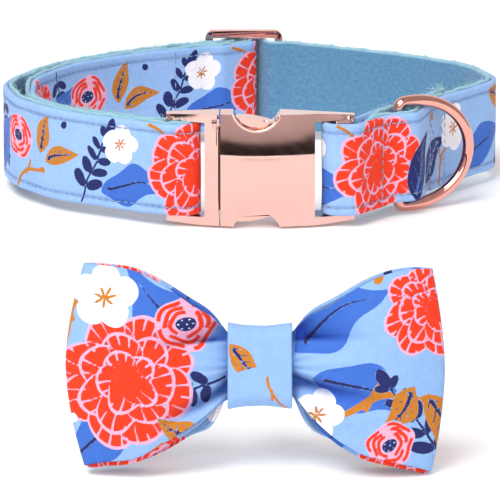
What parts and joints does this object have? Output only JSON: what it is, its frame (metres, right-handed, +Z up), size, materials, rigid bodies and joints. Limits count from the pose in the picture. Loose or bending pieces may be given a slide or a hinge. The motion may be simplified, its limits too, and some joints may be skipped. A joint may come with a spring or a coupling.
{
  "type": "pet bow tie collar",
  "caption": "Fastened fabric pet collar on its edge, with a metal side release buckle, D-ring and slider, and its detachable bow tie lying in front.",
  "frame": {"origin": "on the floor, in the middle of the collar and the bow tie together", "axes": "+Z up, +X to the right and +Y to the back, seen from the buckle's side: the bow tie is at -Y"},
  "size_m": [0.1378, 0.3458, 0.0474],
  "materials": {
    "printed_cotton": "woven, printed",
    "felt_lining": "felted, soft",
    "rose_gold": "polished plating",
    "elastic": "ribbed elastic"
  },
  "bodies": {
    "collar": {"strap_right": "printed_cotton", "strap_left": "printed_cotton", "felt_right": "felt_lining", "felt_left": "felt_lining", "buckle_plug": "rose_gold", "buckle_socket": "rose_gold", "slider": "rose_gold", "bow_loop": "printed_cotton", "bow_knot": "printed_cotton", "bow_elastic": "elastic"},
    "ring": {"d_ring": "rose_gold"}
  },
  "joints": [
    {"name": "ring_swing", "type": "hinge", "parent": "collar", "child": "ring", "pos_m": [0.04024, 0.07553, 0.01625], "axis": [0, 0, -1], "range_deg": [0, 120]}
  ]
}
